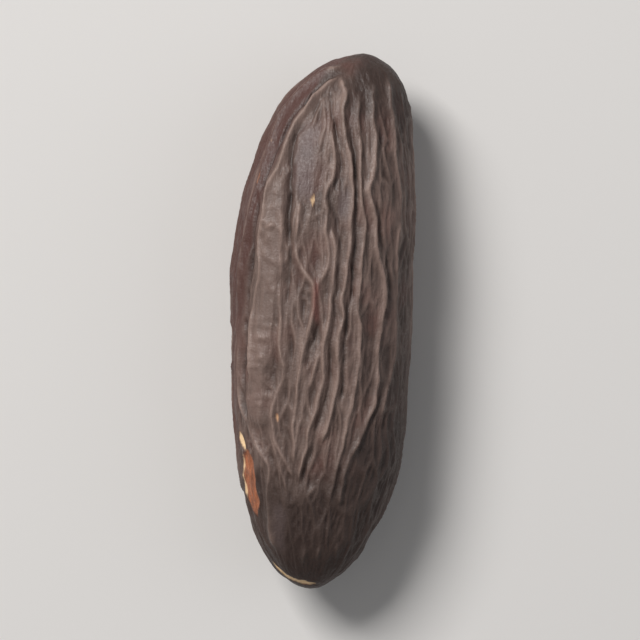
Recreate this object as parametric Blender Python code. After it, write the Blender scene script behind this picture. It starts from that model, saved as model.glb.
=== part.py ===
"""A tonka bean: one whole dried seed, lying on its broad side.

Metres, +Z up. The bean lies along Y with its blunt head at +Y and its slimmer tail at -Y.
+X is to the right for someone who looks down on it. The origin is under the middle of the
bean, on the surface that it rests on.

The seed is one piece, so it is one solid. A sphere is drawn out to the seed's smooth body,
and the wrinkles of its dry coat are raised from that body by formulas.
"""

import math

import bmesh
import bpy
import numpy as np
from mathutils import Vector, noise

MM = 0.001

# Driving sizes, measured over the wrinkles
LENGTH = 36.0 * MM
WIDTH = 12.5 * MM
THICKNESS = 9.4 * MM

# The smooth body is smaller than that by the wrinkles, which stand on both its sides
WRINKLE_RISE = 0.30 * MM
HALF_LENGTH = LENGTH / 2 - WRINKLE_RISE / 2
HALF_WIDTH = WIDTH / 2 - WRINKLE_RISE
HALF_THICKNESS = THICKNESS / 2 - WRINKLE_RISE / 2

# Fineness of the solid: columns run from tail to head, and rings run round the bean
COLUMNS = 112
RINGS = 52
FINE_STEPS = 2001

# How full each end is: a taper of 2 and a fullness of 2 make an ellipse, and more is blunter
HEAD_TAPER = 2.6
HEAD_FULLNESS = 2.4
TAIL_TAPER = 2.3
TAIL_FULLNESS = 2.1
SECTION_FULLNESS = 2.25

# The bean isn't straight: its lean to the right, in half widths, is a cubic of the share along
LEAN = (-0.09, -0.11, 0.17, 0.23)

# Towards both tips the wrinkles turn to the left on the upper face, and the columns turn with them
HEAD_TURN = math.radians(14.0)
HEAD_TURN_START = 0.40
HEAD_TURN_SPAN = 0.50
TAIL_TURN = math.radians(14.0)
TAIL_TURN_START = 0.05
TAIL_TURN_SPAN = 0.75

# Slow swellings and hollows of the whole body
LUMP_SPACING = 6.5 * MM
LUMP_HEIGHT = 0.28 * MM

# Crests of the upper face. Each has its height, and its route from tail to head as
# (share along, share across): -1 to 1 is tail to head, and left edge to right edge.
CRESTS = {
    "left keel": (
        0.36 * MM,
        [(-0.87, -0.75), (-0.72, -0.72), (-0.58, -0.64), (-0.52, -0.69), (-0.43, -0.81), (-0.33, -0.90),
         (-0.13, -0.92), (0.10, -0.92), (0.30, -0.89), (0.51, -0.86), (0.66, -0.90), (0.82, -0.91),
         (0.92, -0.75), (0.96, -0.47)],
    ),
    "left edge of the band": (
        0.32 * MM,
        [(-0.25, -0.76), (-0.06, -0.77), (0.07, -0.75), (0.18, -0.70), (0.30, -0.72), (0.42, -0.69),
         (0.54, -0.67), (0.65, -0.65), (0.76, -0.62), (0.86, -0.51), (0.92, -0.35)],
    ),
    "right edge of the band": (
        0.34 * MM,
        [(-0.61, -0.31), (-0.54, -0.42), (-0.47, -0.54), (-0.38, -0.55), (-0.30, -0.51),
         (-0.22, -0.42), (-0.10, -0.46), (0.03, -0.46), (0.22, -0.48), (0.34, -0.49), (0.44, -0.51)],
    ),
    "left arm and stem of the fork": (
        0.36 * MM,
        [(-0.56, -0.32), (-0.41, -0.32), (-0.29, -0.26), (-0.17, -0.23), (-0.07, -0.16), (0.03, -0.08),
         (0.13, -0.09), (0.18, -0.23), (0.26, -0.32), (0.35, -0.34), (0.46, -0.35)],
    ),
    "right arm of the fork": (
        0.34 * MM,
        [(0.11, -0.09), (0.17, 0.01), (0.24, 0.05), (0.36, 0.01), (0.46, -0.06), (0.54, -0.01),
         (0.62, -0.03), (0.73, -0.17)],
    ),
    "short crest by the head": (
        0.22 * MM,
        [(0.55, -0.13), (0.65, -0.23), (0.74, -0.25), (0.86, -0.46)],
    ),
    "long middle crest": (
        0.40 * MM,
        [(-0.62, -0.27), (-0.45, -0.15), (-0.33, -0.05), (-0.20, 0.04), (-0.07, 0.05), (0.06, 0.12),
         (0.21, 0.12), (0.36, 0.09)],
    ),
    "branch of the middle crest": (
        0.32 * MM,
        [(-0.54, -0.36), (-0.34, -0.21), (-0.22, -0.10), (-0.09, 0.04)],
    ),
    "crest from head to tail": (
        0.44 * MM,
        [(-0.47, 0.01), (-0.35, 0.13), (-0.21, 0.20), (-0.07, 0.20), (0.02, 0.27), (0.10, 0.24),
         (0.25, 0.28), (0.42, 0.29), (0.55, 0.23), (0.65, 0.13), (0.76, -0.02), (0.85, -0.08),
         (0.92, -0.35)],
    ),
    "crest right of the middle": (
        0.36 * MM,
        [(-0.71, 0.18), (-0.62, 0.21), (-0.47, 0.29), (-0.33, 0.37), (-0.20, 0.42), (-0.06, 0.45),
         (0.08, 0.41), (0.20, 0.43), (0.36, 0.44), (0.52, 0.36), (0.66, 0.29), (0.86, 0.16)],
    ),
    "right crest": (
        0.42 * MM,
        [(-0.71, 0.32), (-0.63, 0.35), (-0.55, 0.37), (-0.48, 0.43), (-0.39, 0.55), (-0.32, 0.63),
         (-0.20, 0.67), (-0.04, 0.67), (0.12, 0.70), (0.25, 0.61), (0.38, 0.55), (0.50, 0.48),
         (0.58, 0.51), (0.71, 0.47), (0.90, 0.40)],
    ),
    "right edge": (
        0.34 * MM,
        [(-0.36, 0.72), (-0.27, 0.77), (-0.11, 0.85), (0.07, 0.84), (0.28, 0.83), (0.48, 0.85),
         (0.65, 0.78), (0.80, 0.72), (0.93, 0.71)],
    ),
    "right shoulder of the head": (
        0.24 * MM,
        [(0.86, 0.96), (0.90, 0.95), (0.94, 0.88)],
    ),
    "left of the tail": (
        0.24 * MM,
        [(-0.72, -0.42), (-0.66, -0.44), (-0.56, -0.51), (-0.48, -0.57), (-0.38, -0.60)],
    ),
    "slanting crest of the tail": (
        0.28 * MM,
        [(-0.69, -0.20), (-0.65, -0.08), (-0.60, 0.05)],
    ),
    "left tip of the tail": (
        0.20 * MM,
        [(-0.92, -0.25), (-0.82, -0.15)],
    ),
    "middle of the tail": (
        0.20 * MM,
        [(-0.92, 0.12), (-0.82, 0.11)],
    ),
    "right tip of the tail": (
        0.20 * MM,
        [(-0.90, 0.56), (-0.80, 0.43)],
    ),
    "right margin of the tail": (
        0.24 * MM,
        [(-0.90, 0.84), (-0.81, 0.90), (-0.70, 0.90)],
    ),
}
CREST_WIDTH = 0.34 * MM
CREST_SHARPNESS = 1.6
CREST_RUNOUT = 1.6 * MM
SHARE_AT_ITS_END = 0.15
CREST_JOIN = 4.0
CURVE_STEPS = 3

# Broad flat-topped swellings of the upper face: height, half width and route
SWELLINGS = {
    "broad left band": (
        0.30 * MM, 0.78 * MM,
        [(-0.42, -0.66), (-0.06, -0.63), (0.29, -0.60), (0.45, -0.62), (0.55, -0.66)],
    ),
    "plate by the head": (
        0.20 * MM, 0.70 * MM,
        [(0.44, -0.27), (0.56, -0.35), (0.74, -0.45)],
    ),
    "knob by the head": (
        0.24 * MM, 0.55 * MM,
        [(0.78, -0.07), (0.87, -0.18)],
    ),
}
SWELLING_SHARPNESS = 3.5

# The net of crests on the flanks and the underside: long cells, drawn out from tail to head
CELL_ACROSS = 1.9 * MM
CELL_STRETCH = 6.0
NET_HEIGHT = 0.36 * MM
NET_WIDTH = 0.32 * MM
NET_SHARE_ON_FACE = 0.25
FACE_START = 0.05
FACE_SPAN = 0.30
NET_TAPER = 0.6
LEAST_BREADTH = 0.25
BEND_SPACING = 4.5 * MM
BEND_REACH = 0.9 * MM
NET_START = Vector((3.7, 11.2, 5.1))

# The bends of the net start from this seed, so that every build gives the same bean
BEND_SEED = 5

# Where a crest of the net runs across the bean, it may be as much wider as one over this share
LEAST_SLOPE = 0.45

# The scar where the seed hung from its pod: an oval pit with a low lip, by the head, on the
# right. Its lip and the start of the wrinkles are given as shares of its own half sizes.
SCAR_ALONG = 0.79
SCAR_ANGLE = math.radians(-24.0)
SCAR_HALF_LENGTH = 1.15 * MM
SCAR_HALF_WIDTH = 0.70 * MM
SCAR_DEPTH = 0.30 * MM
SCAR_LIP = 0.18 * MM
SCAR_LIP_PLACE = 1.25
SCAR_LIP_WIDTH = 0.30
WRINKLES_START = 0.9
WRINKLES_SPAN = 0.6

# By the very tips, where the wrinkles would crowd, they run out into a plain low swelling
TIP_RUNOUT = 1.8 * MM
TIP_RISE = 0.20 * MM

# The bean rests on a small flat spot: a low swelling under its middle, cut level
REST_HALF_LENGTH = 4.0 * MM
REST_HALF_WIDTH = 1.7 * MM
REST_RISE = 0.30 * MM
REST_LEVEL = 0.15 * MM

COAT_COLOUR = (0.052, 0.034, 0.028, 1.0)
COAT_ROUGHNESS = 0.52


def remove_everything():
    for obj in list(bpy.data.objects):
        bpy.data.objects.remove(obj)


def smoothstep(share):
    """0 below 0, 1 above 1, and a soft rise between."""
    share = np.clip(share, 0.0, 1.0)
    return share * share * (3.0 - 2.0 * share)


def breadth(along):
    """The half width as a share of its greatest value, from -1 at the tail to 1 at the head."""
    at_head = along > 0
    taper = np.where(at_head, HEAD_TAPER, TAIL_TAPER)
    fullness = np.where(at_head, HEAD_FULLNESS, TAIL_FULLNESS)
    return np.clip(1.0 - np.abs(along) ** taper, 0.0, 1.0) ** (1.0 / fullness)


def on_body(along, across, upward):
    """The smooth body's point for a share along, and for shares across and up in its section."""
    lean = sum(factor * along**power for power, factor in enumerate(LEAN))
    x = HALF_WIDTH * (lean + breadth(along) * across)
    z = HALF_THICKNESS * breadth(along) * upward
    return np.stack([x, HALF_LENGTH * along, z], axis=-1)


def section(angle):
    """Shares across and up for an angle round the bean, measured from the right edge."""
    power = 2.0 / SECTION_FULLNESS
    across = np.sign(np.cos(angle)) * np.abs(np.cos(angle)) ** power
    upward = np.sign(np.sin(angle)) * np.abs(np.sin(angle)) ** power
    return across, upward


def evenly_spaced(share, values, x, y):
    """Values that lie evenly spaced along a curve, for 0 at its start to 1 at its end."""
    walked = np.concatenate([[0.0], np.cumsum(np.hypot(np.diff(x), np.diff(y)))])
    return np.interp(share, walked / walked[-1], values)


def smooth_route(route):
    """More points along a route, on a smooth curve through its own points."""
    points = np.array([route[0]] + route + [route[-1]])
    curve = []
    for before, start, end, after in zip(points, points[1:], points[2:], points[3:]):
        for share in np.arange(CURVE_STEPS) / CURVE_STEPS:
            leave = (end - before) / 2
            arrive = (after - start) / 2
            rise = share * share * (3.0 - 2.0 * share)
            curve.append(
                start * (1.0 - rise) + end * rise
                + leave * share * (1.0 - share) ** 2 - arrive * share**2 * (1.0 - share)
            )
    return np.array(curve + [points[-1]])


def distance_to_route(points, route):
    """Distance from the route's curve on the body, and how far the nearest place is from its ends."""
    along, across = smooth_route(route).T
    upward = np.clip(1.0 - np.abs(across) ** SECTION_FULLNESS, 0.0, 1.0) ** (1.0 / SECTION_FULLNESS)
    line = on_body(along, across, upward)
    walked = np.concatenate([[0.0], np.cumsum(np.linalg.norm(np.diff(line, axis=0), axis=1))])
    away = np.full(len(points), np.inf)
    to_end = np.zeros(len(points))
    for start, end, first, last in zip(line, line[1:], walked, walked[1:]):
        run = end - start
        share = np.clip((points - start) @ run / (run @ run), 0.0, 1.0)
        distance = np.linalg.norm(points - start - share[:, None] * run, axis=1)
        place = first + share * (last - first)
        nearer = distance < away
        away = np.where(nearer, distance, away)
        to_end = np.where(nearer, np.minimum(place, walked[-1] - place), to_end)
    return away, to_end


def face_relief(points):
    """Height of the upper face's own crests and swellings."""
    ridges = [(height, CREST_WIDTH, CREST_SHARPNESS, route) for height, route in CRESTS.values()]
    ridges += [(height, width, SWELLING_SHARPNESS, route) for height, width, route in SWELLINGS.values()]
    total = np.zeros(len(points))
    for height, half_width, sharpness, route in ridges:
        away, to_end = distance_to_route(points, route)
        runout = smoothstep(SHARE_AT_ITS_END + to_end / CREST_RUNOUT)
        total += (height * runout * np.exp(-((away / half_width) ** sharpness))) ** CREST_JOIN
    return total ** (1.0 / CREST_JOIN)


def net_relief(points, along):
    """Height of the net, whose crests stand where two long cells of the coat meet."""
    noise.seed_set(BEND_SEED)
    taper = np.maximum(breadth(along), LEAST_BREADTH) ** NET_TAPER
    heights = np.zeros(len(points))
    for index, (x, y, z) in enumerate(points):
        bend = noise.noise_vector(Vector((x, y, z)) / BEND_SPACING) * BEND_REACH
        place = Vector((x / taper[index], y / CELL_STRETCH, z / taper[index])) + bend
        place = place / CELL_ACROSS + NET_START
        centres = noise.voronoi(place)[1]
        apart = (centres[1] - centres[0]).normalized()
        slope = math.hypot(apart.x, apart.y / CELL_STRETCH, apart.z)
        to_border = ((centres[0] + centres[1]) / 2 - place).dot(apart) * CELL_ACROSS
        to_border = abs(to_border) / max(slope, LEAST_SLOPE)
        heights[index] = NET_HEIGHT * math.exp(-((to_border / NET_WIDTH) ** CREST_SHARPNESS))
    return heights


def scar_distance(points):
    """Distance from the middle of the scar, where 1 is its edge."""
    away = points - on_body(np.array(SCAR_ALONG), *section(SCAR_ANGLE))
    return np.hypot(away[:, 1] / SCAR_HALF_LENGTH, np.hypot(away[:, 0], away[:, 2]) / SCAR_HALF_WIDTH)


def relief(points, along, upward):
    """How far the wrinkled coat stands out from the smooth body."""
    on_face = smoothstep((upward - FACE_START) / FACE_SPAN)
    net = net_relief(points, along) * (1.0 - (1.0 - NET_SHARE_ON_FACE) * on_face)
    wrinkles = (net**CREST_JOIN + face_relief(points) ** CREST_JOIN) ** (1.0 / CREST_JOIN)
    tips = on_body(np.array([-1.0, 1.0]), 0.0, 0.0)
    to_tip = np.min([np.linalg.norm(points - tip, axis=1) for tip in tips], axis=0)
    off_tip = smoothstep(to_tip / TIP_RUNOUT)
    wrinkles = off_tip * wrinkles + (1.0 - off_tip) * TIP_RISE
    scar = scar_distance(points)
    wrinkles *= smoothstep((scar - WRINKLES_START) / WRINKLES_SPAN)
    wrinkles -= SCAR_DEPTH * np.exp(-(scar**4))
    wrinkles += SCAR_LIP * np.exp(-(((scar - SCAR_LIP_PLACE) / SCAR_LIP_WIDTH) ** 2))
    lumps = np.array([noise.noise(Vector(point) / LUMP_SPACING) for point in points])
    wrinkles += LUMP_HEIGHT * lumps
    away = points - on_body(np.array(0.0), 0.0, -1.0)
    on_spot = np.exp(-(np.hypot(away[:, 0] / REST_HALF_WIDTH, away[:, 1] / REST_HALF_LENGTH) ** 4))
    on_spot = np.where(upward < 0.0, on_spot, 0.0)
    return (1.0 - on_spot) * wrinkles + on_spot * REST_RISE


def split_along_crests(mesh, rise):
    """Splits four-sided faces so that slanting crests stay whole: the cut's lower end is the higher one."""
    for face in [face for face in mesh.faces if len(face.verts) == 4]:
        corners = face.verts[:]
        height = [rise[corner.index] for corner in corners]
        start = 0 if min(height[0], height[2]) > min(height[1], height[3]) else 1
        bmesh.utils.face_split(face, corners[start], corners[start + 2])


def shape_bean(mesh):
    """Draws a unit sphere, whose poles lie on Z, out into the wrinkled bean."""
    unit = np.array([vertex.co for vertex in mesh.verts])
    latitude = np.arcsin(np.clip(unit[:, 2], -1.0, 1.0))
    fine = np.sin(np.linspace(-math.pi / 2, math.pi / 2, FINE_STEPS))
    along = evenly_spaced(latitude / math.pi + 0.5, fine, fine * HALF_LENGTH, breadth(fine) * HALF_WIDTH)
    longitude = np.arctan2(unit[:, 1], unit[:, 0])
    fine = np.linspace(-math.pi, math.pi, FINE_STEPS)
    across, upward = section(fine)
    around = evenly_spaced(longitude / math.tau + 0.5, fine, across * HALF_WIDTH, upward * HALF_THICKNESS)
    around += HEAD_TURN * smoothstep((along - HEAD_TURN_START) / HEAD_TURN_SPAN)
    around += TAIL_TURN * smoothstep((-along - TAIL_TURN_START) / TAIL_TURN_SPAN)
    across, upward = section(around)
    points = on_body(along, across, upward)
    for vertex, point in zip(mesh.verts, points):
        vertex.co = point
    bmesh.ops.reverse_faces(mesh, faces=mesh.faces)
    mesh.normal_update()
    normals = np.array([vertex.normal for vertex in mesh.verts])

    rise = relief(points, along, upward)
    points += normals * rise[:, None]
    points[:, 2] = np.maximum(points[:, 2], -HALF_THICKNESS - REST_LEVEL)
    split_along_crests(mesh, rise)

    low, high = points.min(axis=0), points.max(axis=0)
    points -= [(low[0] + high[0]) / 2, (low[1] + high[1]) / 2, low[2]]
    points *= np.array([WIDTH, LENGTH, THICKNESS]) / (high - low)
    for vertex, point in zip(mesh.verts, points):
        vertex.co = point


def coat_material():
    material = bpy.data.materials.new("dry_seed_coat")
    material.use_nodes = True
    surface = material.node_tree.nodes["Principled BSDF"]
    surface.inputs["Base Color"].default_value = COAT_COLOUR
    surface.inputs["Roughness"].default_value = COAT_ROUGHNESS
    surface.inputs["Metallic"].default_value = 0.0
    return material


def make_bean():
    mesh = bmesh.new()
    bmesh.ops.create_uvsphere(mesh, u_segments=COLUMNS, v_segments=RINGS, radius=1.0)
    shape_bean(mesh)
    data = bpy.data.meshes.new("tonka_bean")
    mesh.to_mesh(data)
    mesh.free()
    data.shade_smooth()
    data.materials.append(coat_material())
    bean = bpy.data.objects.new("tonka_bean", data)
    bpy.context.scene.collection.objects.link(bean)


remove_everything()
make_bean()
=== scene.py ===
"""A tonka bean on a pale table, seen from straight above, as in the photograph."""
import math

import bpy
import numpy as np
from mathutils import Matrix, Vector, noise


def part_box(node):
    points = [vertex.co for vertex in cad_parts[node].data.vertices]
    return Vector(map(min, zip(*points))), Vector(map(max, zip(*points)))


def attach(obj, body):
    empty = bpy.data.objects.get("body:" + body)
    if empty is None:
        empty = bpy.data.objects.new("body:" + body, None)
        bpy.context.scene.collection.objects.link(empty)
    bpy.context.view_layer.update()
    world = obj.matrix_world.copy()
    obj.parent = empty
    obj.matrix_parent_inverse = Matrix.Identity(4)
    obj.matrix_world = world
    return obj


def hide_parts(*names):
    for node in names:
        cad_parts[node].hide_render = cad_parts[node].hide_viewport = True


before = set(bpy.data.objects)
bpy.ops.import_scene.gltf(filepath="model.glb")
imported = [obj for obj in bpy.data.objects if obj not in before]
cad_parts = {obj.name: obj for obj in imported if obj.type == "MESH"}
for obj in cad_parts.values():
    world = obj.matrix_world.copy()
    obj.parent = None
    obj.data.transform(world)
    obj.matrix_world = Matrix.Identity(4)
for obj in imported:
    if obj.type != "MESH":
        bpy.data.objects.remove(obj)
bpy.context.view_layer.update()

MM = 0.001


# The table is a wide pale board with a matt finish, and only carries the bean. It lies just
# under the bean's resting spot, so that the two surfaces don't coincide.
TABLE_SIZE = 3.0
TABLE_DROP = 0.01 * MM
TABLE_COLOUR = "#DCDBD9"
TABLE_ROUGHNESS = 0.85


def from_hex(colour):
    """An sRGB hex colour as linear red, green, blue and alpha."""
    channels = [int(colour[start:start + 2], 16) / 255 for start in (1, 3, 5)]
    linear = [c / 12.92 if c <= 0.04045 else ((c + 0.055) / 1.055) ** 2.4 for c in channels]
    return (*linear, 1.0)


def add_node(tree, kind, inputs, **settings):
    """A node with its settings; each input is given a value, or linked where it gets a socket."""
    node = tree.nodes.new(kind)
    for name, value in settings.items():
        setattr(node, name, value)
    for name, value in inputs.items():
        if isinstance(value, bpy.types.NodeSocket):
            tree.links.new(value, node.inputs[name])
        else:
            node.inputs[name].default_value = value
    return node


matt_board = bpy.data.materials.new("matt_painted_board")
matt_board.use_nodes = True
board_surface = matt_board.node_tree.nodes["Principled BSDF"]
board_surface.inputs["Base Color"].default_value = from_hex(TABLE_COLOUR)
board_surface.inputs["Roughness"].default_value = TABLE_ROUGHNESS

half = TABLE_SIZE / 2
table_mesh = bpy.data.meshes.new("table")
table_mesh.from_pydata(
    [(-half, -half, -TABLE_DROP), (half, -half, -TABLE_DROP), (half, half, -TABLE_DROP),
     (-half, half, -TABLE_DROP)],
    [], [(0, 1, 2, 3)],
)
table_mesh.materials.append(matt_board)
table = bpy.data.objects.new("table", table_mesh)
bpy.context.scene.collection.objects.link(table)


# Studio light: a large soft lamp stands beyond the head, to the left, and rakes across the
# crests. A weak one opens the shadows on the right, and the room adds a pale even light.
LAMPS = {
    # name: place, width, power in watts, colour
    "soft_key": ((-0.26, 0.26, 0.38), 0.22, 2.9, "#FFFCFA"),
    "weak_fill": ((0.42, 0.05, 0.30), 0.40, 0.30, "#F4F6FF"),
}
ROOM_COLOUR = "#F5F4F3"
ROOM_STRENGTH = 0.20

for name, (place, width, power, colour) in LAMPS.items():
    lamp = bpy.data.lights.new(name, "AREA")
    lamp.size = width
    lamp.energy = power
    lamp.color = from_hex(colour)[:3]
    stand = bpy.data.objects.new(name, lamp)
    stand.location = place
    stand.rotation_euler = (-Vector(place)).to_track_quat("-Z", "Y").to_euler()
    bpy.context.scene.collection.objects.link(stand)

room = bpy.data.worlds.new("room")
room.use_nodes = True
room.node_tree.nodes["Background"].inputs["Color"].default_value = from_hex(ROOM_COLOUR)
room.node_tree.nodes["Background"].inputs["Strength"].default_value = ROOM_STRENGTH
bpy.context.scene.world = room
bpy.context.scene.view_settings.view_transform = "Standard"


# The camera looks straight down, with a long lens. It is rolled a little, because the bean's
# head leans to the right in the photograph.
CAMERA_HEIGHT = 0.40
CAMERA_ROLL = math.radians(3.5)
BEAN_SHARE_OF_PICTURE = 0.84
SENSOR = 36.0
NEAREST_SEEN = 10 * MM

low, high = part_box("tonka_bean")
lens = bpy.data.cameras.new("camera")
lens.sensor_width = SENSOR
lens.lens = SENSOR * BEAN_SHARE_OF_PICTURE * (CAMERA_HEIGHT - high.z / 2) / (high.y - low.y)
lens.clip_start = NEAREST_SEEN
camera = bpy.data.objects.new("camera", lens)
camera.location = (0.0, 0.0, CAMERA_HEIGHT)
camera.rotation_euler = (0.0, 0.0, CAMERA_ROLL)
bpy.context.scene.collection.objects.link(camera)
bpy.context.scene.camera = camera


# The bean is one dried seed, long and a little flattened, with a blunt head and a slimmer tail.
# It grew as one piece. This section draws its smooth body, of the size that the frame gives.
WRINKLE_RISE = 0.30 * MM
SIZE = np.array(high - low)
HALF_WIDTH = SIZE[0] / 2 - WRINKLE_RISE
HALF_LENGTH = SIZE[1] / 2 - WRINKLE_RISE / 2
HALF_THICKNESS = SIZE[2] / 2 - WRINKLE_RISE / 2

# Fineness of the mesh: columns run from tail to head, and rings run round the bean
COLUMNS = 400
RINGS = 240
FINE_STEPS = 2001

# How full each end is: a taper of 2 and a fullness of 2 make an ellipse, and more is blunter
HEAD_TAPER = 2.6
HEAD_FULLNESS = 2.4
TAIL_TAPER = 2.3
TAIL_FULLNESS = 2.1
SECTION_FULLNESS = 2.25

# The bean isn't straight: its lean to the right, in half widths, is a cubic of the share along
LEAN = (-0.09, -0.11, 0.17, 0.23)

# Towards both tips the wrinkles turn to the left on the upper face, and the columns turn with them
HEAD_TURN = math.radians(14.0)
HEAD_TURN_START = 0.40
HEAD_TURN_SPAN = 0.50
TAIL_TURN = math.radians(14.0)
TAIL_TURN_START = 0.05
TAIL_TURN_SPAN = 0.75


def smoothstep(share):
    """0 below 0, 1 above 1, and a soft rise between."""
    share = np.clip(share, 0.0, 1.0)
    return share * share * (3.0 - 2.0 * share)


def breadth(along):
    """The half width as a share of its greatest value, from -1 at the tail to 1 at the head."""
    at_head = along > 0
    taper = np.where(at_head, HEAD_TAPER, TAIL_TAPER)
    fullness = np.where(at_head, HEAD_FULLNESS, TAIL_FULLNESS)
    return np.clip(1.0 - np.abs(along) ** taper, 0.0, 1.0) ** (1.0 / fullness)


def on_body(along, across, upward):
    """The smooth body's point for a share along, and for shares across and up in its section."""
    lean = sum(factor * along**power for power, factor in enumerate(LEAN))
    x = HALF_WIDTH * (lean + breadth(along) * across)
    z = HALF_THICKNESS * breadth(along) * upward
    return np.stack([x, HALF_LENGTH * along, z], axis=-1)


def section(angle):
    """Shares across and up for an angle round the bean, measured from the right edge."""
    power = 2.0 / SECTION_FULLNESS
    across = np.sign(np.cos(angle)) * np.abs(np.cos(angle)) ** power
    upward = np.sign(np.sin(angle)) * np.abs(np.sin(angle)) ** power
    return across, upward


def evenly_spaced(share, values, x, y):
    """Values that lie evenly spaced along a curve, for 0 at its start to 1 at its end."""
    walked = np.concatenate([[0.0], np.cumsum(np.hypot(np.diff(x), np.diff(y)))])
    return np.interp(share, walked / walked[-1], values)


fine = np.sin(np.linspace(-math.pi / 2, math.pi / 2, FINE_STEPS))
stations = evenly_spaced(np.arange(1, RINGS + 1) / (RINGS + 1), fine, fine * HALF_LENGTH,
                         breadth(fine) * HALF_WIDTH)
fine = np.linspace(-math.pi, math.pi, FINE_STEPS)
fine_across, fine_upward = section(fine)
angles = evenly_spaced(np.arange(COLUMNS) / COLUMNS, fine, fine_across * HALF_WIDTH,
                       fine_upward * HALF_THICKNESS)
along, around = (grid.ravel() for grid in np.meshgrid(stations, angles, indexing="ij"))
around = around + HEAD_TURN * smoothstep((along - HEAD_TURN_START) / HEAD_TURN_SPAN)
around = around + TAIL_TURN * smoothstep((-along - TAIL_TURN_START) / TAIL_TURN_SPAN)
along = np.concatenate([along, [-1.0, 1.0]])
around = np.concatenate([around, [0.0, 0.0]])
across, upward = section(around)
body = on_body(along, across, upward)

# Four-sided faces between the rings, and a fan of triangles at each tip
faces = []
for ring in range(RINGS - 1):
    for column in range(COLUMNS):
        here = ring * COLUMNS + column
        beside = ring * COLUMNS + (column + 1) % COLUMNS
        faces.append((here, here + COLUMNS, beside + COLUMNS, beside))
tail_tip, head_tip = RINGS * COLUMNS, RINGS * COLUMNS + 1
last_ring = (RINGS - 1) * COLUMNS
for column in range(COLUMNS):
    beside = (column + 1) % COLUMNS
    faces.append((tail_tip, column, beside))
    faces.append((head_tip, last_ring + beside, last_ring + column))

bean_mesh = bpy.data.meshes.new("tonka_bean_coat")
bean_mesh.from_pydata(body.tolist(), [], faces)
outward = np.empty(len(body) * 3)
bean_mesh.vertex_normals.foreach_get("vector", outward)
outward = outward.reshape(-1, 3)


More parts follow.
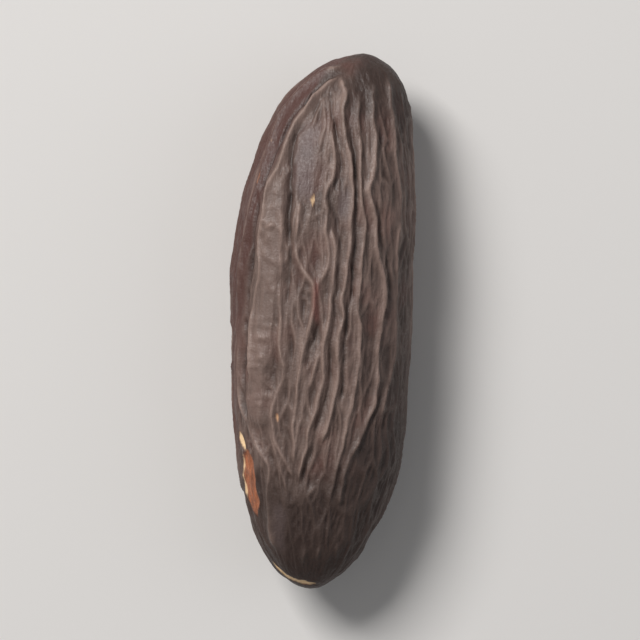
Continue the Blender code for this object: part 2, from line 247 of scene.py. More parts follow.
# The main crests of the upper face. As the seed dries, its coat shrinks less than the flesh
# and folds up into lengthwise ridges with hollow valleys between them.
CRESTS = {
    # name: height, and the route from tail to head as (share along, share across), where -1 to 1
    # is tail to head, and left edge to right edge
    "outer line of the rim": (
        0.18 * MM,
        [(-0.30, -0.97), (-0.08, -0.96), (0.05, -0.95), (0.17, -0.93), (0.28, -0.92), (0.48, -0.91),
         (0.68, -0.94), (0.84, -0.95), (0.91, -0.88), (0.96, -0.68)],
    ),
    "left keel": (
        0.36 * MM,
        [(-0.87, -0.75), (-0.72, -0.72), (-0.58, -0.64), (-0.52, -0.69), (-0.43, -0.81), (-0.33, -0.90),
         (-0.13, -0.92), (0.10, -0.92), (0.30, -0.89), (0.51, -0.86), (0.66, -0.90), (0.82, -0.91),
         (0.92, -0.75), (0.96, -0.47)],
    ),
    "left edge of the band": (
        0.46 * MM,
        [(-0.25, -0.76), (-0.06, -0.77), (0.07, -0.75), (0.18, -0.70), (0.30, -0.72), (0.42, -0.69),
         (0.54, -0.67), (0.65, -0.65), (0.76, -0.62), (0.86, -0.51), (0.92, -0.35)],
    ),
    "right edge of the band": (
        0.34 * MM,
        [(-0.61, -0.31), (-0.54, -0.42), (-0.47, -0.54), (-0.38, -0.55), (-0.30, -0.51),
         (-0.22, -0.42), (-0.10, -0.46), (0.03, -0.46), (0.22, -0.48), (0.34, -0.49), (0.44, -0.51)],
    ),
    "left arm and stem of the fork": (
        0.36 * MM,
        [(-0.56, -0.32), (-0.41, -0.32), (-0.29, -0.26), (-0.17, -0.23), (-0.07, -0.16), (0.03, -0.08),
         (0.13, -0.09), (0.18, -0.23), (0.26, -0.32), (0.35, -0.34), (0.46, -0.35)],
    ),
    "right arm of the fork": (
        0.34 * MM,
        [(0.11, -0.09), (0.17, 0.01), (0.24, 0.05), (0.36, 0.01), (0.46, -0.06), (0.54, -0.01),
         (0.62, -0.03), (0.73, -0.17)],
    ),
    "short crest by the head": (
        0.22 * MM,
        [(0.55, -0.13), (0.65, -0.23), (0.74, -0.25), (0.86, -0.46)],
    ),
    "long middle crest": (
        0.40 * MM,
        [(-0.62, -0.27), (-0.45, -0.15), (-0.33, -0.05), (-0.20, 0.04), (-0.07, 0.05), (0.06, 0.12),
         (0.21, 0.12), (0.36, 0.09)],
    ),
    "branch of the middle crest": (
        0.32 * MM,
        [(-0.54, -0.36), (-0.34, -0.21), (-0.22, -0.10), (-0.09, 0.04)],
    ),
    "crest from head to tail": (
        0.44 * MM,
        [(-0.47, 0.01), (-0.35, 0.13), (-0.21, 0.20), (-0.07, 0.20), (0.02, 0.27), (0.10, 0.24),
         (0.25, 0.28), (0.42, 0.29), (0.55, 0.23), (0.65, 0.13), (0.76, -0.02), (0.85, -0.08),
         (0.92, -0.35)],
    ),
    "crest right of the middle": (
        0.36 * MM,
        [(-0.71, 0.18), (-0.62, 0.21), (-0.47, 0.29), (-0.33, 0.37), (-0.20, 0.42), (-0.06, 0.45),
         (0.08, 0.41), (0.20, 0.43), (0.36, 0.44), (0.52, 0.36), (0.66, 0.29), (0.86, 0.16)],
    ),
    "right crest": (
        0.42 * MM,
        [(-0.71, 0.32), (-0.63, 0.35), (-0.55, 0.37), (-0.48, 0.43), (-0.39, 0.55), (-0.32, 0.63),
         (-0.20, 0.67), (-0.04, 0.67), (0.12, 0.70), (0.25, 0.61), (0.38, 0.55), (0.50, 0.48),
         (0.58, 0.51), (0.71, 0.47), (0.90, 0.40)],
    ),
    "right edge": (
        0.34 * MM,
        [(-0.36, 0.72), (-0.27, 0.77), (-0.11, 0.85), (0.07, 0.84), (0.28, 0.83), (0.48, 0.85),
         (0.65, 0.78), (0.80, 0.72), (0.93, 0.71)],
    ),
    "right shoulder of the head": (
        0.24 * MM,
        [(0.86, 0.96), (0.90, 0.95), (0.94, 0.88)],
    ),
    "left of the tail": (
        0.24 * MM,
        [(-0.72, -0.42), (-0.66, -0.44), (-0.56, -0.51), (-0.48, -0.57), (-0.38, -0.60)],
    ),
    "slanting crest of the tail": (
        0.28 * MM,
        [(-0.69, -0.20), (-0.65, -0.08), (-0.60, 0.05)],
    ),
    "left tip of the tail": (
        0.20 * MM,
        [(-0.92, -0.25), (-0.82, -0.15)],
    ),
    "middle of the tail": (
        0.20 * MM,
        [(-0.92, 0.12), (-0.82, 0.11)],
    ),
    "right tip of the tail": (
        0.20 * MM,
        [(-0.90, 0.56), (-0.80, 0.43)],
    ),
    "right margin of the tail": (
        0.24 * MM,
        [(-0.90, 0.84), (-0.81, 0.90), (-0.70, 0.90)],
    ),
    "first rung of the band": (
        0.30 * MM,
        [(0.33, -0.73), (0.34, -0.60), (0.34, -0.48)],
    ),
    "second rung of the band": (
        0.22 * MM,
        [(0.12, -0.71), (0.13, -0.61), (0.13, -0.49)],
    ),
    "third rung of the band": (
        0.24 * MM,
        [(-0.09, -0.76), (-0.08, -0.65), (-0.09, -0.54)],
    ),
    "fourth rung of the band": (
        0.28 * MM,
        [(-0.16, -0.75), (-0.15, -0.63), (-0.15, -0.52)],
    ),
}

# A crest is lower by its two ends, and where two crests meet, one flows into the other
CREST_RUNOUT = 1.2 * MM
SHARE_AT_ITS_END = 0.15
CREST_JOIN = 4.0
CURVE_STEPS = 3

# A crest is a sharp lip on a broad foot. It leans over to one side or the other.
LIP_SHARE = 0.55
LIP_ROUNDING = 0.06 * MM
LIP_WIDTH = 0.11 * MM
FOOT_WIDTH = 0.38 * MM
LEAN_OVER = 0.55
LEAN_SPACING = 5.0 * MM
LEAN_STRETCH = 1.5
LEAN_OFFSET = 4.0

# Crests wander a little from side to side, and their height comes and goes. The seed keeps the
# wandering the same in every run.
WANDER_SEED = 23
WANDER_SPACING = 1.9 * MM
WANDER_REACH = 0.18 * MM
CRINKLE_SPACING = 0.7 * MM
CRINKLE_REACH = 0.07 * MM
HEIGHT_SPACING = 2.0 * MM
HEIGHT_STRETCH = 1.8
HEIGHT_OFFSET = 1.0
HEIGHT_CHANGE = 0.50


def smooth_route(route):
    """More points along a route, on a smooth curve through its own points."""
    points = np.array([route[0]] + route + [route[-1]])
    curve = []
    for before, start, end, after in zip(points, points[1:], points[2:], points[3:]):
        for share in np.arange(CURVE_STEPS) / CURVE_STEPS:
            leave = (end - before) / 2
            arrive = (after - start) / 2
            rise = share * share * (3.0 - 2.0 * share)
            curve.append(
                start * (1.0 - rise) + end * rise
                + leave * share * (1.0 - share) ** 2 - arrive * share**2 * (1.0 - share)
            )
    return np.array(curve + [points[-1]])


def along_route(points, route):
    """Distance from the route's curve on the body, and a share that runs out at its two ends."""
    line_along, line_across = smooth_route(route).T
    height = np.clip(1.0 - np.abs(line_across) ** SECTION_FULLNESS, 0.0, 1.0) ** (1.0 / SECTION_FULLNESS)
    line = on_body(line_along, line_across, height)
    walked = np.concatenate([[0.0], np.cumsum(np.linalg.norm(np.diff(line, axis=0), axis=1))])
    away = np.full(len(points), np.inf)
    to_end = np.zeros(len(points))
    for start, end, first, last in zip(line, line[1:], walked, walked[1:]):
        run = end - start
        share = np.clip((points - start) @ run / (run @ run), 0.0, 1.0)
        distance = np.linalg.norm(points - start - share[:, None] * run, axis=1)
        place = first + share * (last - first)
        nearer = distance < away
        away = np.where(nearer, distance, away)
        to_end = np.where(nearer, np.minimum(place, walked[-1] - place), to_end)
    return away, smoothstep(SHARE_AT_ITS_END + to_end / CREST_RUNOUT)


def noise_at(points, spacing, stretch=1.0, offset=0.0):
    """Smooth noise from about -1 to 1, drawn out along the bean by the stretch. Noises with
    different offsets, in metres, have nothing in common."""
    scaled = (points + offset) / (np.array([1.0, stretch, 1.0]) * spacing)
    return np.array([noise.noise(Vector(place)) for place in scaled])


def noise_vectors_at(points, spacing):
    """Smooth noise as a vector, each of whose parts is from about -1 to 1."""
    return np.array([noise.noise_vector(Vector(place)) for place in points / spacing])


def lip(away):
    return np.exp(-(np.hypot(away, LIP_ROUNDING) - LIP_ROUNDING) / LIP_WIDTH)


def foot(away):
    return np.exp(-((away / FOOT_WIDTH) ** 2))


noise.seed_set(WANDER_SEED)
wandered = body + WANDER_REACH * noise_vectors_at(body, WANDER_SPACING)
wandered += CRINKLE_REACH * noise_vectors_at(body, CRINKLE_SPACING)
come_and_go = 1.0 + HEIGHT_CHANGE * noise_at(body, HEIGHT_SPACING, HEIGHT_STRETCH, HEIGHT_OFFSET)
lips = np.zeros(len(body))
feet = np.zeros(len(body))
for crest_height, route in CRESTS.values():
    away, runout = along_route(wandered, route)
    lips = np.maximum(lips, crest_height * runout * come_and_go * lip(away))
    feet = (feet**CREST_JOIN + (crest_height * runout * foot(away)) ** CREST_JOIN) ** (1.0 / CREST_JOIN)


# Smoother swellings stand out between the crests: a broad band down the left, plates, an arch
# and a knob by the head, and strips where the flanks begin. Where the coat sank deepest, narrow
# dark furrows run beside the crests.
SWELLINGS = {
    # name: height, half width, how much calmer it is than the rest, route
    "broad left band": (
        0.34 * MM, 0.74 * MM, 0.55,
        [(-0.42, -0.72), (-0.31, -0.71), (-0.18, -0.68), (-0.06, -0.65), (0.10, -0.61), (0.29, -0.60),
         (0.45, -0.62), (0.55, -0.66)],
    ),
    "plate by the head": (
        0.12 * MM, 0.80 * MM, 0.80,
        [(0.44, -0.27), (0.56, -0.35), (0.74, -0.45)],
    ),
    "small plate of the middle": (
        0.08 * MM, 0.48 * MM, 0.80,
        [(0.36, 0.21), (0.44, 0.18), (0.52, 0.17)],
    ),
    "knob by the head": (
        0.14 * MM, 0.48 * MM, 0.50,
        [(0.78, -0.07), (0.87, -0.18)],
    ),
    "arch inside the rim": (
        0.14 * MM, 0.26 * MM, 0.50,
        [(0.58, -0.66), (0.65, -0.65), (0.76, -0.62), (0.86, -0.51)],
    ),
    "rim of the head": (
        0.05 * MM, 0.42 * MM, 0.85,
        [(0.52, -0.85), (0.70, -0.85), (0.82, -0.81), (0.90, -0.67), (0.95, -0.42)],
    ),
    "strip on the right": (
        0.02 * MM, 0.75 * MM, 0.75,
        [(-0.09, 0.59), (0.07, 0.59)],
    ),
    "strip by the tail": (
        0.04 * MM, 0.60 * MM, 0.75,
        [(-0.89, -0.74), (-0.78, -0.64), (-0.67, -0.53)],
    ),
}
GREY_SWELLINGS = ("plate by the head", "small plate of the middle", "strip by the tail")
PALE_SWELLINGS = ("arch inside the rim", "knob by the head")
SWELLING_SHARPNESS = 3.5
FURROWS = {
    # name: depth, route
    "inside the head's rim": (
        0.22 * MM,
        [(0.46, -0.79), (0.57, -0.79), (0.64, -0.78), (0.78, -0.74), (0.83, -0.66), (0.89, -0.55),
         (0.93, -0.37)],
    ),
    "left of the band": (
        0.18 * MM,
        [(-0.45, -0.84), (-0.29, -0.86), (-0.18, -0.86), (-0.01, -0.83), (0.10, -0.83), (0.20, -0.80),
         (0.35, -0.80), (0.46, -0.79)],
    ),
    "right of the band": (
        0.24 * MM,
        [(0.04, -0.39), (0.22, -0.38), (0.29, -0.41), (0.36, -0.44), (0.44, -0.46), (0.50, -0.49),
         (0.57, -0.53), (0.65, -0.59), (0.74, -0.56)],
    ),
    "wavy furrow of the middle": (
        0.16 * MM,
        [(-0.04, 0.13), (0.03, 0.17), (0.20, 0.18), (0.30, 0.17), (0.37, 0.14), (0.42, 0.04),
         (0.48, 0.00), (0.53, 0.06), (0.59, 0.08), (0.66, 0.00), (0.74, -0.12), (0.82, -0.27)],
    ),
    "right of the stem": (
        0.16 * MM,
        [(-0.16, -0.11), (-0.12, -0.11), (-0.05, -0.05), (0.01, 0.01)],
    ),
    "right of the long crest": (
        0.20 * MM,
        [(-0.31, 0.25), (-0.15, 0.27), (0.00, 0.31), (0.16, 0.35), (0.30, 0.36), (0.37, 0.35),
         (0.46, 0.34), (0.55, 0.30), (0.63, 0.23), (0.70, 0.15), (0.78, 0.04)],
    ),
    "left of the long crest": (
        0.16 * MM,
        [(-0.62, -0.22), (-0.49, -0.11), (-0.38, -0.01), (-0.28, 0.08), (-0.19, 0.12), (-0.09, 0.13)],
    ),
    "by the right crest": (
        0.16 * MM,
        [(0.62, 0.59), (0.74, 0.55)],
    ),
    "slanting furrow on the right": (
        0.16 * MM,
        [(0.47, 0.57), (0.38, 0.61), (0.31, 0.66), (0.24, 0.72), (0.09, 0.77)],
    ),
    "right of the right crest": (
        0.18 * MM,
        [(-0.20, 0.76), (-0.27, 0.72), (-0.37, 0.62), (-0.46, 0.51), (-0.53, 0.45)],
    ),
}
FURROW_WIDTH = 0.14 * MM
FURROW_SHARPNESS = 1.6

swellings = {}
swelling_rise = np.zeros(len(body))
calm = np.ones(len(body))
for name, (swelling_height, half_width, calmness, route) in SWELLINGS.items():
    away, runout = along_route(wandered, route)
    swellings[name] = runout * np.exp(-((away / half_width) ** SWELLING_SHARPNESS))
    swelling_rise += swelling_height * swellings[name]
    calm = np.minimum(calm, 1.0 - calmness * swellings[name])
on_band = swellings["broad left band"]

furrows = np.zeros(len(body))
for depth, route in FURROWS.values():
    away, runout = along_route(wandered, route)
    hollow = np.exp(-((away / FURROW_WIDTH) ** FURROW_SHARPNESS))
    furrows = np.maximum(furrows, depth * runout * come_and_go * hollow)


# A net of crests covers the flanks and the underside too, and lower nets of shorter cells lie
# between the main crests. All follow one rule: a crest stands where two long cells meet.
MAIN_CELL = 1.9 * MM
NETS = {
    # name: cell across, stretch, crest height, share on the upper face, start of the pattern
    "main": (MAIN_CELL, 6.0, 0.38 * MM, 0.12, Vector((3.7, 11.2, 5.1))),
    "middle": (1.05 * MM, 4.8, 0.20 * MM, 0.9, Vector((31.7, 2.2, 9.1))),
    "fine": (0.52 * MM, 2.8, 0.13 * MM, 0.9, Vector((23.1, 4.4, 17.9))),
}

# The cells narrow and their crests run out towards the tips, and their borders bend everywhere
NET_TAPER = 0.6
LEAST_BREADTH = 0.25
NET_RUNOUT = 7.0 * MM
BEND_PER_CELL = 2.4
REACH_PER_CELL = 0.47

# The upper face, by its share upward, starts a little above the bean's edge
FACE_START = 0.05
FACE_SPAN = 0.30

# Where a crest of the net runs across the bean, it may be as much wider as one over this share
LEAST_SLOPE = 0.35


def border_distance(points, cell, stretch, start):
    """Distance from the nearest border between the net's long cells, which are drawn out along Y."""
    taper = np.clip(breadth(along), LEAST_BREADTH, 1.0) ** NET_TAPER
    bends = REACH_PER_CELL * cell * noise_vectors_at(points, BEND_PER_CELL * cell)
    scaled = np.stack([points[:, 0] / taper, points[:, 1] / stretch, points[:, 2] / taper], axis=1)
    distances = np.empty(len(points))
    for index, place in enumerate((scaled + bends) / cell):
        place = Vector(place) + start
        _, (nearest, *others) = noise.voronoi(place)
        borders = []
        for other in others:
            apart = (other - nearest).normalized()
            slope = math.hypot(apart.x, apart.y / stretch, apart.z)
            borders.append(((nearest + other) / 2 - place).dot(apart) / max(slope, LEAST_SLOPE))
        distances[index] = min(borders) * cell
    return np.maximum(distances, 0.0)


on_face = smoothstep((upward - FACE_START) / FACE_SPAN)
to_tip = np.minimum(np.linalg.norm(body - body[tail_tip], axis=1),
                    np.linalg.norm(body - body[head_tip], axis=1))
net_share = calm * smoothstep(to_tip / NET_RUNOUT)
for cell, stretch, net_height, face_share, start in NETS.values():
    border = border_distance(body, cell, stretch, start)
    local_height = net_height * (1.0 - (1.0 - face_share) * on_face) * net_share
    reach = cell / MAIN_CELL
    lips = np.maximum(lips, local_height * come_and_go * lip(border))
    feet = (feet**CREST_JOIN + (local_height * foot(border / reach)) ** CREST_JOIN) ** (1.0 / CREST_JOIN)


# Small cross wrinkles rib the broad band like a ladder, where the coat shrank lengthwise, and
# slow lumps and a fine grain roughen the whole bean.
RIB_SPACING = 3.2 * MM
RIB_SQUEEZE = 0.26
RIB_OFFSET = 2.0
RIB_SHARPNESS = 0.09
RIB_HEIGHT = 0.11 * MM
GRAIN_SPACING = 0.24 * MM
GRAIN_STRETCH = 1.6
GRAIN_HEIGHT = 0.020 * MM
LUMP_SPACING = 6.5 * MM
LUMP_HEIGHT = 0.28 * MM
SMALL_LUMP_SPACING = 1.0 * MM
SMALL_LUMP_STRETCH = 1.8
SMALL_LUMP_OFFSET = 3.0
SMALL_LUMP_HEIGHT = 0.07 * MM

rib_noise = noise_at(body, RIB_SPACING, RIB_SQUEEZE, RIB_OFFSET)
ribs = RIB_HEIGHT * on_band * np.exp(-np.abs(rib_noise) / RIB_SHARPNESS)
grain = GRAIN_HEIGHT * noise_at(body, GRAIN_SPACING, GRAIN_STRETCH)
lumps = LUMP_HEIGHT * noise_at(body, LUMP_SPACING)
small_lumps = noise_at(body, SMALL_LUMP_SPACING, SMALL_LUMP_STRETCH, SMALL_LUMP_OFFSET)
small_lumps *= SMALL_LUMP_HEIGHT


# The scar, or hilum, is where the seed hung from its pod: an oval pit with a low lip, on the
# right flank by the head.
SCAR_ALONG = 0.79
SCAR_ANGLE = math.radians(-24.0)
SCAR_HALF_LENGTH = 1.15 * MM
SCAR_HALF_WIDTH = 0.70 * MM
SCAR_DEPTH = 0.30 * MM
SCAR_STEEPNESS = 4
SCAR_LIP = 0.18 * MM

# As shares of the scar's own half sizes: the lip's place and width, and where wrinkles start
SCAR_LIP_PLACE = 1.25
SCAR_LIP_WIDTH = 0.30
WRINKLES_START = 0.9
WRINKLES_SPAN = 0.6

away = body - on_body(np.array(SCAR_ALONG), *section(SCAR_ANGLE))
scar = np.hypot(away[:, 1] / SCAR_HALF_LENGTH, np.hypot(away[:, 0], away[:, 2]) / SCAR_HALF_WIDTH)
scar_rise = SCAR_LIP * np.exp(-(((scar - SCAR_LIP_PLACE) / SCAR_LIP_WIDTH) ** 2))
scar_rise -= SCAR_DEPTH * np.exp(-(scar**SCAR_STEEPNESS))


# Here and there the thin dark skin has broken away from the orange brown layer under it: along
# the left margin by the tail, round the tail's tip, and in small flecks on the crests. Each
# bare place is pointed at both ends, and its ragged edge stands up a little. The bright golden
# tone along the tail tip's rim and the bare margin's edges is painted warm highlight.
BARE_PLACES = {
    # name: half width, rise of the ragged edge, share of bright golden tone and painted highlight, route
    "outer edge of the bare margin": (
        0.20 * MM, 0.02 * MM, 0.8,
        [(-0.68, -0.97), (-0.62, -0.97), (-0.57, -0.96), (-0.51, -0.93)],
    ),
    "left margin by the tail": (
        0.70 * MM, 0.07 * MM, 0.05,
        [(-0.74, -0.89), (-0.69, -0.90), (-0.63, -0.91), (-0.57, -0.90), (-0.49, -0.87)],
    ),
    "top of the bare margin": (
        0.31 * MM, 0.05 * MM, 0.95,
        [(-0.51, -0.88), (-0.46, -0.93), (-0.41, -0.96)],
    ),
    # Its bright golden tone round the tip is painted warm highlight
    "rim of the tail's tip": (
        0.20 * MM, 0.02 * MM, 0.95,
        [(-0.91, -0.96), (-0.94, -0.92), (-0.97, -0.80), (-0.98, -0.55), (-0.985, -0.10), (-0.98, 0.45)],
    ),
    "fleck on the plate": (
        0.30 * MM, 0.02 * MM, 0.8,
        [(0.42, -0.19), (0.47, -0.18)],
    ),
    "fleck on the head's rim": (
        0.20 * MM, 0.02 * MM, 0.5,
        [(0.66, -0.88), (0.71, -0.88)],
    ),
    "lower fleck on the head's rim": (
        0.20 * MM, 0.02 * MM, 0.2,
        [(0.50, -0.87), (0.57, -0.88)],
    ),
    "fleck by the left of the tail": (
        0.12 * MM, 0.02 * MM, 0.4,
        [(-0.39, -0.50), (-0.36, -0.50)],
    ),
}
RAGGED_SPACING = 0.6 * MM
RAGGED_STRETCH = 1.8
RAGGED_OFFSET = 5.0
RAGGED_REACH = 0.18 * MM
RAGGED_EDGE = 0.11 * MM
BARE_DEPTH = 0.06 * MM

bare = np.zeros(len(body))
gold_and_painted_highlight = np.zeros(len(body))
bare_rise = np.zeros(len(body))
ragged = RAGGED_REACH * noise_at(body, RAGGED_SPACING, RAGGED_STRETCH, RAGGED_OFFSET)
for half_width, edge_rise, share_of_gold_and_highlight, route in BARE_PLACES.values():
    away, runout = along_route(body, route)
    inside = half_width * runout + ragged - away
    spot = smoothstep(inside / RAGGED_EDGE)
    gold_and_painted_highlight = np.where(spot > bare, share_of_gold_and_highlight, gold_and_painted_highlight)
    bare = np.maximum(bare, spot)
    bare_rise += edge_rise * np.exp(-((inside / RAGGED_EDGE) ** 2)) - BARE_DEPTH * spot


# Everything is raised from the body together. By the tips, where the wrinkles would crowd, they
# run out into a plain low swelling. Another one, under the middle, is cut level: the bean rests
# on that small flat spot.
TIP_RUNOUT = 1.7 * MM
TIP_RISE = 0.20 * MM
REST_HALF_LENGTH = 4.0 * MM
REST_HALF_WIDTH = 1.7 * MM
REST_STEEPNESS = 4
REST_RISE = 0.30 * MM
REST_LEVEL = 0.15 * MM

off_tip = smoothstep(to_tip / TIP_RUNOUT)
off_scar = smoothstep((scar - WRINKLES_START) / WRINKLES_SPAN)
wrinkles = LIP_SHARE * lips + (1.0 - LIP_SHARE) * feet + swelling_rise + ribs - furrows
wrinkles = off_scar * (off_tip * wrinkles + (1.0 - off_tip) * TIP_RISE)
sideways = np.cross(outward, (0.0, 1.0, 0.0))
leaning = LEAN_OVER * noise_at(body, LEAN_SPACING, LEAN_STRETCH, LEAN_OFFSET)
lean_over = leaning * off_tip * off_scar * lips
rise = wrinkles + scar_rise + bare_rise + grain + lumps + small_lumps
away = body - on_body(np.array(0.0), 0.0, -1.0)
from_middle = np.hypot(away[:, 0] / REST_HALF_WIDTH, away[:, 1] / REST_HALF_LENGTH)
on_spot = np.where(upward < 0.0, np.exp(-(from_middle**REST_STEEPNESS)), 0.0)
rise = (1.0 - on_spot) * rise + on_spot * REST_RISE
coat = body + outward * rise[:, None] + sideways * lean_over[:, None]
coat[:, 2] = np.maximum(coat[:, 2], -HALF_THICKNESS - REST_LEVEL)
coat_low, coat_high = coat.min(axis=0), coat.max(axis=0)
coat = np.array(low) + (coat - coat_low) * SIZE / (coat_high - coat_low)
bean_mesh.vertices.foreach_set("co", coat.ravel())
bean_mesh.update()
bean_mesh.shade_smooth()


# How far each place takes part in the coat's colours: a reddish streak lies under the fork, the
# left rim is reddish too, more broadly so by the head, and the tail, the lower right flank and
# the top of the head are darkened with painted shade.
STEM_ROUTE = [(-0.03, -0.05), (0.04, -0.06), (0.10, -0.06), (0.17, -0.07)]
STEM_WIDTH = 0.20 * MM

# How pale each kind of rise is made, by rubbing and by painted highlight, and the heights that
# count as a whole crest or furrow
LIP_PALENESS = 0.90
FOOT_PALENESS = 0.25
RIB_PALENESS = 0.30
SWELLING_PALENESS = 0.60
MOST_PALENESS = 1.3
LIP_LEVEL = 0.30 * MM
FOOT_LEVEL = 0.42 * MM
FURROW_LEVEL = 0.26 * MM

# The rim, by its shares across and upward. Its crests are dull, apart from its outer line.
RIM_START = 0.81
RIM_WIDENING = 0.23
RIM_SPAN = 0.12
RIM_LOW = -0.25
RIM_LOW_SPAN = 0.30
RIM_DULLNESS = 0.88

# The painted shade's places, by their shares along and across: where each starts, and how soon it is
# dark
DARK_TAIL_START = 0.48
DARK_TAIL_SLANT = 0.35
DARK_TAIL_SPAN = 0.24
GREY_IN_THE_TAIL = 0.45
DARK_FLANK_START = 0.60
DARK_FLANK_SPAN = 0.28
DARK_FLANK_TOP = 0.5
DARK_HEAD_START = 0.60
DARK_HEAD_SPAN = 0.26
DARK_HEAD_LEFT = -0.20
DARK_HEAD_LEFT_SPAN = 0.35
DARK_HEAD_SHARE = 0.85

SCAR_COLOUR_REACH = 0.85
SCAR_COLOUR_SHARPNESS = 6

away, runout = along_route(wandered, STEM_ROUTE)
stem = runout * np.exp(-((away / STEM_WIDTH) ** 2))
_, rim_route = CRESTS["outer line of the rim"]
away, runout = along_route(wandered, rim_route)
rim_line = runout * lip(away)
rim_start = RIM_START - RIM_WIDENING * along
rim = smoothstep((-across - rim_start) / RIM_SPAN) * smoothstep((upward - RIM_LOW) / RIM_LOW_SPAN)
# Painted shade: the tail, the lower right flank and the top of the head are darkened
slanted = DARK_TAIL_SLANT * np.maximum(across, 0.0) - along
painted_tail_shade = smoothstep((slanted - DARK_TAIL_START) / DARK_TAIL_SPAN)
painted_tail_shade *= 1.0 - GREY_IN_THE_TAIL * swellings["strip by the tail"]
painted_flank_shade = smoothstep((across - DARK_FLANK_START) / DARK_FLANK_SPAN)
painted_flank_shade *= smoothstep(DARK_FLANK_TOP - along)
painted_head_shade = DARK_HEAD_SHARE * smoothstep((along - DARK_HEAD_START) / DARK_HEAD_SPAN)
painted_head_shade *= smoothstep((across - DARK_HEAD_LEFT) / DARK_HEAD_LEFT_SPAN)
# Paler rises: partly the coat's rubbing, partly painted highlight on the raised places
rubbing_and_painted_highlight = LIP_PALENESS * lips / LIP_LEVEL + FOOT_PALENESS * feet / FOOT_LEVEL + RIB_PALENESS * ribs / RIB_HEIGHT
rubbing_and_painted_highlight += SWELLING_PALENESS * np.max([swellings[name] for name in PALE_SWELLINGS], axis=0)
dulled = RIM_DULLNESS * rim * (1.0 - rim_line)
coat_shares = {
    # paler crests: rubbing and painted highlight
    "crest": off_tip * off_scar * (1.0 - dulled) * np.clip(rubbing_and_painted_highlight, 0.0, MOST_PALENESS),
    # The furrows are darkened with painted shade
    "furrow": np.clip(furrows / FURROW_LEVEL, 0.0, 1.0),
    "band": on_band,
    "plate": np.max([swellings[name] for name in GREY_SWELLINGS], axis=0),
    "rim": rim,
    # painted shade over the tail, the lower right flank and the head's top
    "painted_shade": np.max([painted_tail_shade, painted_flank_shade, painted_head_shade], axis=0),
    "bare": bare,
    "gold_and_painted_highlight": gold_and_painted_highlight,
    "scar": np.exp(-((scar / SCAR_COLOUR_REACH) ** SCAR_COLOUR_SHARPNESS)),
    "stem": stem,
}
for name, share in coat_shares.items():
    bean_mesh.attributes.new(name, "FLOAT", "POINT").data.foreach_set("value", share)


# The coat itself: a thin, hard, waxy skin, nearly black where it is fresh and greyish brown
# where rubbing has paled the crests, which also carry painted highlight. The furrows, the tail,
# the lower right flank and the head's top carry painted shade. The eye sees dark valleys, pale
# crests and a satin shine.
VALLEY_COLOUR = "#382721"
# Paler crests: partly rubbing, partly painted highlight
CREST_COLOUR = "#857067"
BAND_COLOUR = "#7D6A62"
PLATE_COLOUR = "#645655"
RED_COLOUR = "#573730"
RIM_COLOUR = "#4B2C26"
STEM_COLOUR = "#743E36"
SCAR_COLOUR = "#6F5A4C"
# Painted shade in the furrows
FURROW_SHADE_COLOUR = "#201512"
# Colour of the painted shade over the tail, the lower right flank and the head's top
PAINTED_SHADE_COLOUR = "#2E201B"
BARE_COLOUR = "#A65F3E"
BARE_SHADE = "#75402C"
# The bare layer's pale golden tone, painted warm highlight on the tail tip's rim and the margin's edges
GOLD_AND_PAINTED_HIGHLIGHT_COLOUR = "#F4D3A6"
MOTTLE_SPACING = 3.0 * MM

# The coat's real grit and hairs are finer than a pixel of the render, which is 0.07 mm. They are
# drawn two or three pixels coarse, so that they show.
GRIT_SPACING = 0.16 * MM
GRIT_HEIGHT = 0.030 * MM
HAIR_SPACING = 0.22 * MM
HAIR_STRETCH = 6.0
HAIR_HEIGHT = 0.060 * MM

dry_seed_coat = bpy.data.materials.new("dry_seed_coat")
dry_seed_coat.use_nodes = True
tree = dry_seed_coat.node_tree
surface = tree.nodes["Principled BSDF"]

place = add_node(tree, "ShaderNodeTexCoord", {}).outputs["Object"]
drawn_out = add_node(
    tree, "ShaderNodeMapping", {"Vector": place, "Scale": (1.0, 1 / HAIR_STRETCH, 1.0)},
).outputs["Vector"]
mottle = add_node(
    tree, "ShaderNodeTexNoise", {"Vector": place, "Scale": 1 / MOTTLE_SPACING, "Detail": 4.0},
).outputs["Fac"]
grit = add_node(
    tree, "ShaderNodeTexNoise", {"Vector": place, "Scale": 1 / GRIT_SPACING, "Detail": 3.0},
).outputs["Fac"]
hairs = add_node(
    tree, "ShaderNodeTexNoise", {"Vector": drawn_out, "Scale": 1 / HAIR_SPACING, "Detail": 3.0},
).outputs["Fac"]

# Each noise is spread over the range that it is used for: how reddish the valleys are, how pale
# the crests are, by rubbing and painted highlight, how the bare layer's fibres are shaded and how
# rough the coat is
SPREADS = {
    # name: noise, its low and high ends, and what those two become
    "reddish": (mottle, 0.48, 0.66, 0.0, 0.8),
    "paleness_of_crests": (hairs, 0.3, 0.7, 0.65, 1.2),
    "fibrous": (hairs, 0.35, 0.65, 0.0, 1.0),
    "rough": (grit, 0.3, 0.7, 0.44, 0.64),
}
spread = {}
for name, (pattern, low_end, high_end, least, most) in SPREADS.items():
    spread[name] = add_node(
        tree, "ShaderNodeMapRange",
        {"Value": pattern, "From Min": low_end, "From Max": high_end, "To Min": least, "To Max": most},
    ).outputs["Result"]

# A Mix node for colours has its share, the colour under and the colour over at these inputs,
# and the mixed colour at this output
SHARE, UNDER, OVER = 0, 6, 7
MIXED = 2

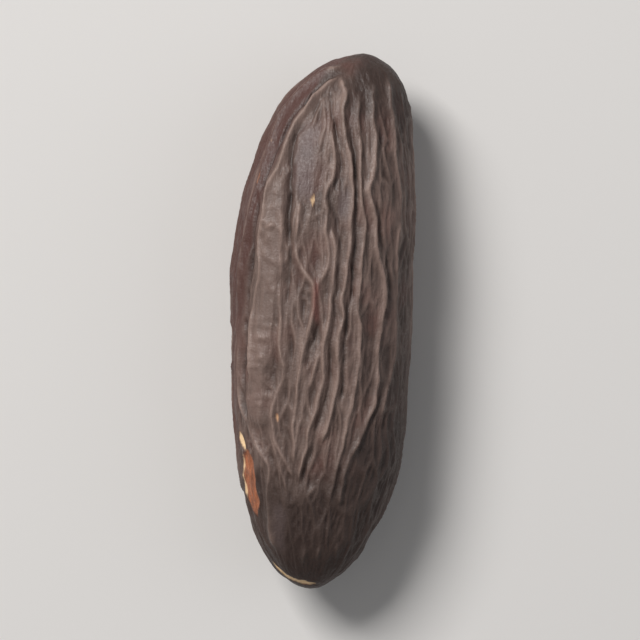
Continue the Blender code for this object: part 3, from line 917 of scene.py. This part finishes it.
bare_layer = add_node(
    tree, "ShaderNodeMix",
    {SHARE: spread["fibrous"], UNDER: from_hex(BARE_SHADE), OVER: from_hex(BARE_COLOUR)},
    data_type="RGBA",
).outputs[MIXED]
# Bright golden tone, painted warm highlight along the tail tip's rim and the bare margin's edges
share_of_gold_and_highlight = add_node(tree, "ShaderNodeAttribute", {}, attribute_name="gold_and_painted_highlight").outputs["Fac"]
bare_layer = add_node(
    tree, "ShaderNodeMix", {SHARE: share_of_gold_and_highlight, UNDER: bare_layer, OVER: from_hex(GOLD_AND_PAINTED_HIGHLIGHT_COLOUR)},
    data_type="RGBA",
).outputs[MIXED]
colour = add_node(
    tree, "ShaderNodeMix",
    {SHARE: spread["reddish"], UNDER: from_hex(VALLEY_COLOUR), OVER: from_hex(RED_COLOUR)},
    data_type="RGBA",
).outputs[MIXED]

# Each layer lies over the ones before it, by the mesh's share of that name times its strength
LAYERS = [
    ("rim", 0.90, from_hex(RIM_COLOUR)),
    ("band", 0.60, from_hex(BAND_COLOUR)),
    ("plate", 0.70, from_hex(PLATE_COLOUR)),
    # paler crests: rubbing and painted highlight
    ("crest", spread["paleness_of_crests"], from_hex(CREST_COLOUR)),
    # painted shade over the tail, the lower right flank and the head's top
    ("painted_shade", 0.72, from_hex(PAINTED_SHADE_COLOUR)),
    # painted shade in the furrows
    ("furrow", 0.85, from_hex(FURROW_SHADE_COLOUR)),
    ("stem", 0.75, from_hex(STEM_COLOUR)),
    ("scar", 0.80, from_hex(SCAR_COLOUR)),
    ("bare", 1.0, bare_layer),
]
for name, strength, layer in LAYERS:
    share = add_node(tree, "ShaderNodeAttribute", {}, attribute_name=name).outputs["Fac"]
    share = add_node(tree, "ShaderNodeMath", {0: share, 1: strength}, operation="MULTIPLY").outputs[0]
    colour = add_node(
        tree, "ShaderNodeMix", {SHARE: share, UNDER: colour, OVER: layer}, data_type="RGBA",
    ).outputs[MIXED]

bump = add_node(
    tree, "ShaderNodeBump", {"Height": hairs, "Distance": HAIR_HEIGHT, "Strength": 1.0},
).outputs["Normal"]
bump = add_node(
    tree, "ShaderNodeBump", {"Height": grit, "Distance": GRIT_HEIGHT, "Strength": 1.0, "Normal": bump},
).outputs["Normal"]
tree.links.new(colour, surface.inputs["Base Color"])
tree.links.new(spread["rough"], surface.inputs["Roughness"])
tree.links.new(bump, surface.inputs["Normal"])
bean_mesh.materials.append(dry_seed_coat)

tonka_bean_coat = bpy.data.objects.new("tonka_bean_coat", bean_mesh)
bpy.context.scene.collection.objects.link(tonka_bean_coat)
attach(tonka_bean_coat, "root")
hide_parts("tonka_bean")
